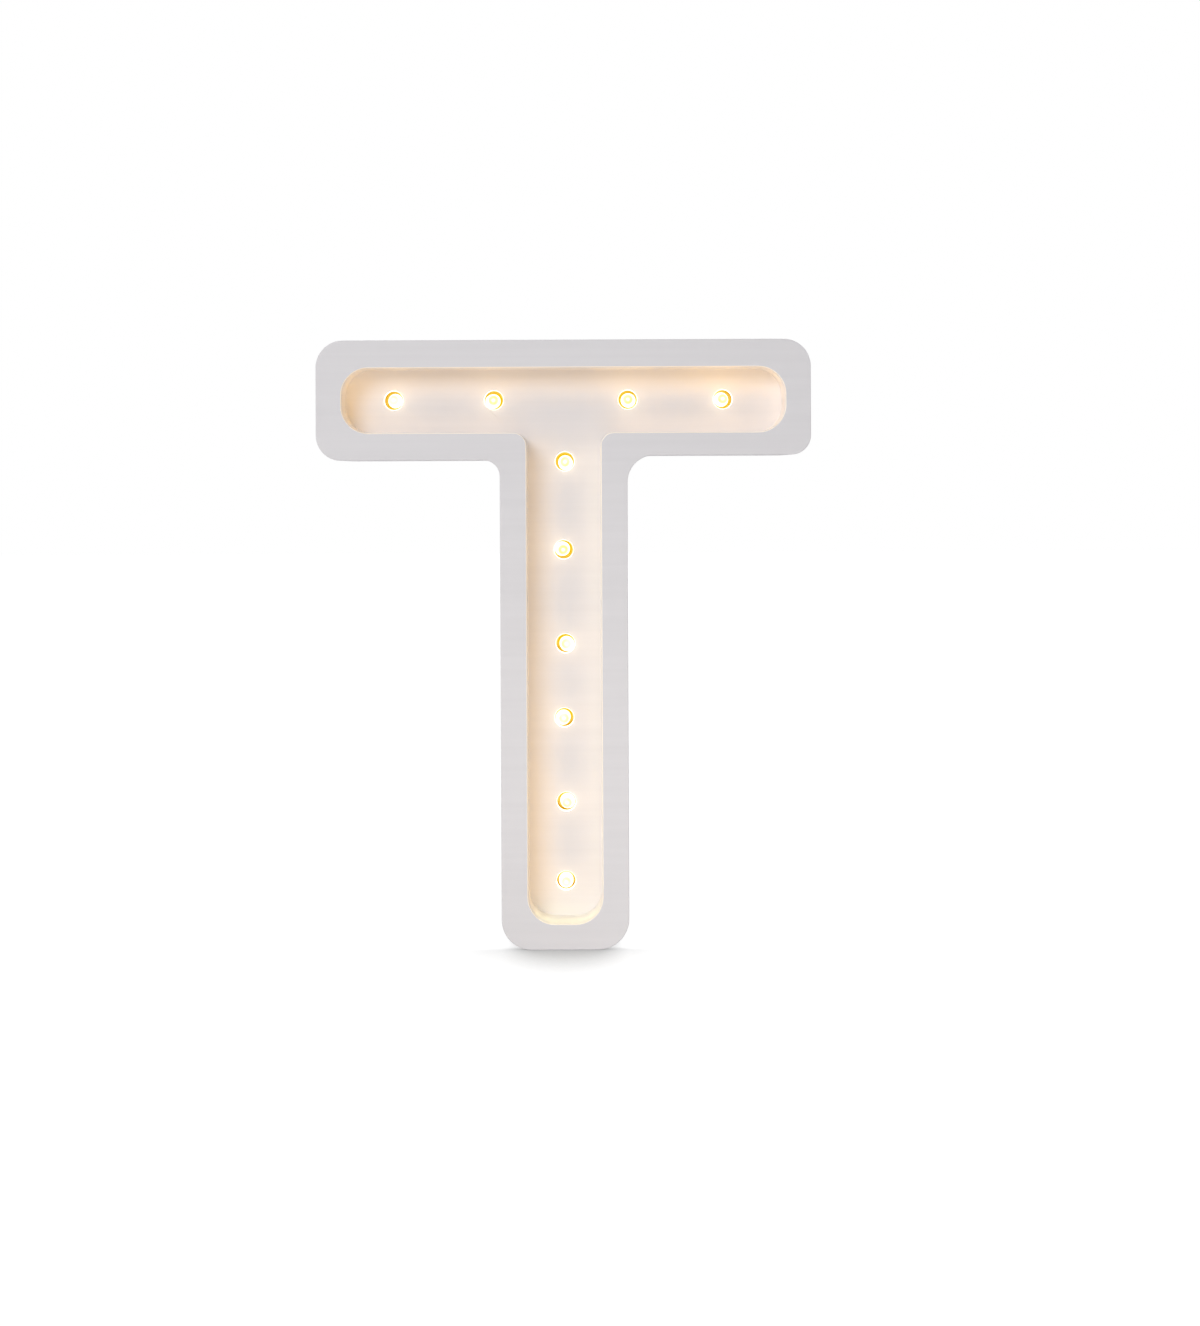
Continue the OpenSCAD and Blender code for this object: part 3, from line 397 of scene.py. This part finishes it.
def glue_with_painted_glow():
    """Cloudy hot-melt glue with a painted amber glow: its emission stands in for the lights shining through
    it.
    """
    n = Nodes("glue")
    cloud = n.noise((420, 420, 420), detail=3)
    n.link(n.mix(cloud, srgb(226, 219, 198), srgb(240, 236, 222)), n.shader.inputs["Base Color"])
    n.link(n.spread(cloud, 0.28, 0.42), n.shader.inputs["Roughness"])
    n.link(n.bump(cloud, 0.05 * MM, 0.5), n.shader.inputs["Normal"])
    # Painted glow: an amber emission stands in for the lights shining through the glue
    n.put(n.shader, Emission_Color=(0.5, 0.3, 0.01, 1), Emission_Strength=0.8)
    return n.material


CELL_BAND_HALF = 5 * MM
SLEEVE_T = 0.7 * MM


def cell_sleeve():
    """A plain shrunk sleeve with one pale band, over a can whose ends are bare metal."""
    n = Nodes("cell_jacket")
    middle = (CELL_LOW + CELL_HIGH) / 2
    where = n.add("ShaderNodeSeparateXYZ")
    n.link(n.place(), where.inputs[0])
    x = n.math("SUBTRACT", n.math("ABSOLUTE", where.outputs["X"]), middle.x)
    y = n.math("SUBTRACT", where.outputs["Y"], middle.y)
    out = n.math("SQRT", n.math("ADD", n.math("MULTIPLY", x, x), n.math("MULTIPLY", y, y)))
    metal = n.math("LESS_THAN", out, (CELL_HIGH.x - CELL_LOW.x) / 2 - SLEEVE_T)
    along = n.math("ABSOLUTE", n.math("SUBTRACT", where.outputs["Z"], middle.z))
    band = n.math("LESS_THAN", along, CELL_BAND_HALF)
    fine = n.noise((500, 500, 90), detail=3)
    sleeve = n.mix(n.spread(fine), srgb(88, 120, 104), srgb(98, 131, 115))
    sleeve = n.mix(band, sleeve, srgb(222, 219, 205))
    n.link(n.mix(metal, sleeve, srgb(208, 206, 200)), n.shader.inputs["Base Color"])
    n.link(metal, n.shader.inputs["Metallic"])
    n.link(n.spread(fine, 0.24, 0.36), n.shader.inputs["Roughness"])
    n.link(n.bump(fine, 0.02 * MM, 0.5), n.shader.inputs["Normal"])
    return n.material


RESISTOR_BANDS = ((0.14, (92, 52, 26)), (0.31, (32, 30, 30)), (0.48, (92, 52, 26)), (0.80, (196, 158, 74)))
RESISTOR_BAND_HALF = 0.045


def banded_resistor():
    """Lacquer with four colour bands round it."""
    n = Nodes("resistor")
    where = n.add("ShaderNodeTexCoord")
    spread = n.add("ShaderNodeSeparateXYZ")
    n.link(where.outputs["Generated"], spread.inputs[0])
    cloud = n.noise((900, 900, 900), detail=2)
    colour = n.mix(cloud, srgb(200, 170, 126), srgb(212, 186, 144))
    for place, band in RESISTOR_BANDS:
        off = n.math("ABSOLUTE", n.math("SUBTRACT", spread.outputs["X"], place))
        colour = n.mix(n.math("LESS_THAN", off, RESISTOR_BAND_HALF), colour, srgb(*band))
    n.link(colour, n.shader.inputs["Base Color"])
    n.link(n.spread(cloud, 0.26, 0.36), n.shader.inputs["Roughness"])
    n.link(n.bump(cloud, 0.02 * MM, 0.5), n.shader.inputs["Normal"])
    return n.material


FINISHES = {
    "painted_wood": painted_wood(),
    "lens": lit_lens(),
    "screw_steel": brushed_metal("screw_steel", srgb(206, 203, 196), 0.32),
    "tinned_lead": brushed_metal("tinned_lead", srgb(220, 220, 216), 0.28),
    "solder": brushed_metal("solder", srgb(205, 206, 208), 0.25),
    "contact_metal": brushed_metal("contact_metal", srgb(221, 218, 210), 0.24),
    "switch_metal": brushed_metal("switch_metal", srgb(214, 213, 208), 0.30),
    "glue": glue_with_painted_glow(),
    "wire_red": moulded("wire_red", srgb(178, 28, 24), 0.38),
    "wire_black": moulded("wire_black", srgb(30, 30, 31), 0.38),
    "box_plastic": moulded("box_plastic", srgb(226, 226, 224), 0.48),
    "cell_jacket": cell_sleeve(),
    "switch_board": moulded("switch_board", srgb(112, 66, 34), 0.45),
    "knob_plastic": moulded("knob_plastic", srgb(34, 34, 35), 0.42),
    "resistor": banded_resistor(),
}
for entry in frame["record"]["subparts"]:
    node = nodes[entry["node"]]
    node.data.materials.clear()
    node.data.materials.append(FINISHES[entry["material_slot"]])


WELD_REACH = 0.001 * MM
FLAT_ANGLE = math.radians(1)
SHARP_ANGLE = math.radians(40)


def soften(name, width, segments):
    """Rounds a CAD node's sharp edges with modifiers alone, so that its own mesh stays as imported."""
    piece = nodes[name]
    weld = piece.modifiers.new("join", "WELD")
    weld.merge_threshold = WELD_REACH
    flat = piece.modifiers.new("flat", "DECIMATE")
    flat.decimate_type = "DISSOLVE"
    flat.angle_limit = FLAT_ANGLE
    edge = piece.modifiers.new("edge", "BEVEL")
    edge.width = width
    edge.segments = segments
    edge.limit_method = "ANGLE"
    edge.angle_limit = SHARP_ANGLE
    edge.use_clamp_overlap = False


# Widths and steps of the soft edges
SOFT_EDGES = {
    "letter_body": (0.3 * MM, 3),
    "back_panel": (0.3 * MM, 2),
    "battery_box": (0.15 * MM, 2),
    "battery_door": (0.12 * MM, 2),
    "switch_knob": (0.1 * MM, 2),
    "switch_base": (0.15 * MM, 2),
}
for name, (width, segments) in SOFT_EDGES.items():
    soften(name, width, segments)

# The marks of the switch: the height of a capital, the font's size for it, and their places round the dish
MARK_H = 2.2 * MM
MARK_SIZE = MARK_H * 1.4
MARK_PROUD = 0.12 * MM
MARK_SOFT = 0.03 * MM
MARK_OUT = 4.5 * MM
MARK_RISE = 2.4 * MM
DISH_H = 9.4 * MM


def add_mark(name, words, x, z):
    """Small raised letters on the flange of the battery box, which read from behind."""
    curve = bpy.data.curves.new(name, "FONT")
    curve.body = words
    curve.size = MARK_SIZE
    curve.extrude = MARK_PROUD
    curve.bevel_depth = MARK_SOFT
    curve.align_x = "CENTER"
    curve.align_y = "CENTER"
    drawn = bpy.data.objects.new(name + "_curve", curve)
    bpy.context.scene.collection.objects.link(drawn)
    bpy.context.view_layer.update()
    mesh = bpy.data.meshes.new_from_object(drawn.evaluated_get(bpy.context.evaluated_depsgraph_get()))
    bpy.data.objects.remove(drawn)
    mesh.name = name
    mesh.materials.clear()
    mesh.materials.append(FINISHES["knob_plastic"])
    mark = bpy.data.objects.new(name, mesh)
    mark.matrix_world = Matrix(((-1, 0, 0, x), (0, 0, 1, BOX_HIGH.y), (0, 1, 0, z), (0, 0, 0, 1)))
    bpy.context.scene.collection.objects.link(mark)
    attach(mark, "letter")


switch_z = (KNOB_LOW.z + KNOB_HIGH.z) / 2
mark_z = switch_z + DISH_H / 2 + MARK_RISE
add_mark("switch_mark_on", "ON", MARK_OUT, mark_z)
add_mark("switch_mark_off", "OFF", -MARK_OUT, mark_z)


def looking(at, target):
    """A place at a point, turned so that its own -Z looks at a target and its Y stays up."""
    turn = (target - at).to_track_quat("-Z", "Y")
    return Matrix.Translation(at) @ turn.to_matrix().to_4x4()


def add_light(name, kind, place, **settings):
    light = bpy.data.lights.new(name, kind)
    for key, value in settings.items():
        setattr(light, key, value)
    lamp = bpy.data.objects.new(name, light)
    lamp.matrix_world = place
    lamp.visible_camera = False
    bpy.context.scene.collection.objects.link(lamp)


def add_panel(name, at, target, width, height, power, colour=(1, 1, 1)):
    """A soft panel of light that looks at a point."""
    add_light(name, "AREA", looking(at, target),
              shape="RECTANGLE", size=width, size_y=height, energy=power, color=colour)


# The key light stands high on the left. Weaker ones stand behind and on the right, and a low card
# fills from the front.
add_panel("key", KEY_AIM + KEY_FROM.normalized() * KEY_DISTANCE, KEY_AIM, KEY_W, KEY_H, KEY_POWER)
add_panel("back", KEY_AIM + BACK_FROM.normalized() * KEY_DISTANCE, KEY_AIM, KEY_W, KEY_H, BACK_POWER)
add_panel("side", KEY_AIM + SIDE_FROM.normalized() * KEY_DISTANCE, KEY_AIM, KEY_W, KEY_H, SIDE_POWER)
add_panel("fill", FILL_AT, FILL_AIM, FILL_W, FILL_H, FILL_POWER, FILL_COLOUR)


def add_glow(name):
    """A light's glow into the recess, and the paler halo close round it."""
    low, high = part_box(name)
    tip = Vector(((low.x + high.x) / 2, low.y, (low.z + high.z) / 2))
    add_light(name + "_glow", "POINT", Matrix.Translation(tip - Vector((0, GLOW_AHEAD, 0))),
              energy=GLOW_POWER, color=GLOW_COLOUR, shadow_soft_size=GLOW_RADIUS)
    add_light(name + "_halo", "POINT", Matrix.Translation(tip - Vector((0, HALO_AHEAD, 0))),
              energy=HALO_POWER, color=HALO_COLOUR, shadow_soft_size=HALO_RADIUS)


def add_strip(name, wall, inset, depth, dip):
    """A thin strip of light along a wall of the recess."""
    start, end, out = (Vector((x, 0, z)) for x, z in wall[:3])
    level, colour = wall[3:]
    along = (end - start).normalized()
    if wall[0] not in SPLITS:
        start += along * STRIP_SHORT
    if wall[1] not in SPLITS:
        end -= along * STRIP_SHORT
    length = (end - start).length
    back = -(out + Vector((0, dip, 0))).normalized()
    turn = Matrix((along, back.cross(along), back)).transposed()
    at = (start + end) / 2 - out * inset + Vector((0, FRONT_Y + depth, 0))
    add_light(name, "AREA", Matrix.Translation(at) @ turn.to_4x4(), shape="RECTANGLE", size=length,
              size_y=STRIP_WIDE, energy=level * math.pi * STRIP_WIDE * length, color=colour)


for name in LENSES:
    add_glow(name)
for kind, (inset, depth, dip, walls) in STRIPS.items():
    for name, wall in walls.items():
        add_strip(kind + "_" + name, wall, inset, depth, dip)


def seen_rays(tree):
    """1 on rays that show the background to the eye, directly or in metal and glass, and 0 on the rest."""
    path = tree.nodes.new("ShaderNodeLightPath")
    total = path.outputs["Is Camera Ray"]
    for output in ("Is Glossy Ray", "Is Transmission Ray"):
        add = tree.nodes.new("ShaderNodeMath")
        add.operation = "MAXIMUM"
        tree.links.new(total, add.inputs[0])
        tree.links.new(path.outputs[output], add.inputs[1])
        total = add.outputs[0]
    return total


def white_world():
    """A soft even light all round that shows as plain white."""
    world = bpy.data.worlds.new("studio")
    bpy.context.scene.world = world
    world.use_nodes = True
    tree = world.node_tree
    back = tree.nodes["Background"]
    back.inputs["Color"].default_value = (1, 1, 1, 1)
    level = tree.nodes.new("ShaderNodeMapRange")
    level.inputs["To Min"].default_value = WORLD_LEVEL
    level.inputs["To Max"].default_value = 1.0
    tree.links.new(seen_rays(tree), level.inputs["Value"])
    tree.links.new(level.outputs["Result"], back.inputs["Strength"])


# The floor: its size, its levels, and the reach and the slant of the painted shadow at the foot, and the
# painted light under the letter
FLOOR_HALF = 3.0
FLOOR_GLOW = 0.93
FLOOR_PALE = (0.8, 0.8, 0.8, 1)
FLOOR_SEEN = (0.2, 0.2, 0.2, 1)
CONTACT_REACH = 60 * MM
CONTACT_FROM = Vector((0, 0.75, 0.66))
CONTACT_DARK = 0.0
CONTACT_OPEN = 0.78
UNDER_PAINTED_LIGHT = 0.30
UNDER_FADE = 4 * MM


def white_floor():
    """A pale floor that shows as white where it is open, with a painted shadow at the foot and painted light
    under the letter.
    """
    n = Nodes("floor")
    n.put(n.shader, Roughness=0.9, Specular_IOR_Level=0.0, Emission_Color=(1, 1, 1, 1))
    seen = seen_rays(n.tree)
    n.link(n.mix(seen, FLOOR_PALE, FLOOR_SEEN), n.shader.inputs["Base Color"])
    # Painted shadow: ambient occlusion, slanted back towards the letter, darkens the floor's emission at the
    # foot
    contact = n.add("ShaderNodeAmbientOcclusion", samples=32)
    n.put(contact, Distance=CONTACT_REACH)
    way = n.add("ShaderNodeCombineXYZ")
    n.put(way, X=CONTACT_FROM.x, Y=CONTACT_FROM.y, Z=CONTACT_FROM.z)
    n.link(way.outputs[0], contact.inputs["Normal"])
    open_share = n.span(contact.outputs["AO"], CONTACT_DARK, CONTACT_OPEN, 0, FLOOR_GLOW)
    place = n.add("ShaderNodeSeparateXYZ")
    n.link(n.place(), place.inputs[0])
    # Painted light: the floor under the letter, between its front and back, is brightened past the occlusion
    behind = n.span(place.outputs["Y"], FRONT_Y, FRONT_Y + UNDER_FADE, 0, UNDER_PAINTED_LIGHT)
    ahead = n.span(place.outputs["Y"], BACK_Y - UNDER_FADE, BACK_Y, 1, 0)
    open_share = n.math("ADD", open_share, n.math("MULTIPLY", behind, ahead))
    shown = n.math("MULTIPLY", seen, n.math("MINIMUM", open_share, FLOOR_GLOW))
    n.link(shown, n.shader.inputs["Emission Strength"])
    mesh = bpy.data.meshes.new("floor")
    corners = [(-FLOOR_HALF, -FLOOR_HALF, 0), (FLOOR_HALF, -FLOOR_HALF, 0),
               (FLOOR_HALF, FLOOR_HALF, 0), (-FLOOR_HALF, FLOOR_HALF, 0)]
    mesh.from_pydata(corners, [], [(0, 1, 2, 3)])
    mesh.materials.append(n.material)
    floor = bpy.data.objects.new("floor", mesh)
    bpy.context.scene.collection.objects.link(floor)


white_world()
white_floor()

camera = bpy.data.cameras.new("camera")
camera.lens = CAMERA_LENS
camera.sensor_width = CAMERA_SENSOR
camera.shift_x = (PHOTO_W / 2 - PRINCIPAL_X) / PHOTO_H
camera.shift_y = -(PHOTO_H / 2 - PRINCIPAL_Y) / PHOTO_H
camera.clip_start = CAMERA_NEAR
viewer = bpy.data.objects.new("camera", camera)
level = looking(CAMERA_AT, CAMERA_AT + Vector((0, 1, 0)))
viewer.matrix_world = level @ Matrix.Rotation(-CAMERA_ROLL, 4, "Z")
bpy.context.scene.collection.objects.link(viewer)
bpy.context.scene.camera = viewer
bpy.context.scene.view_settings.view_transform = "Standard"
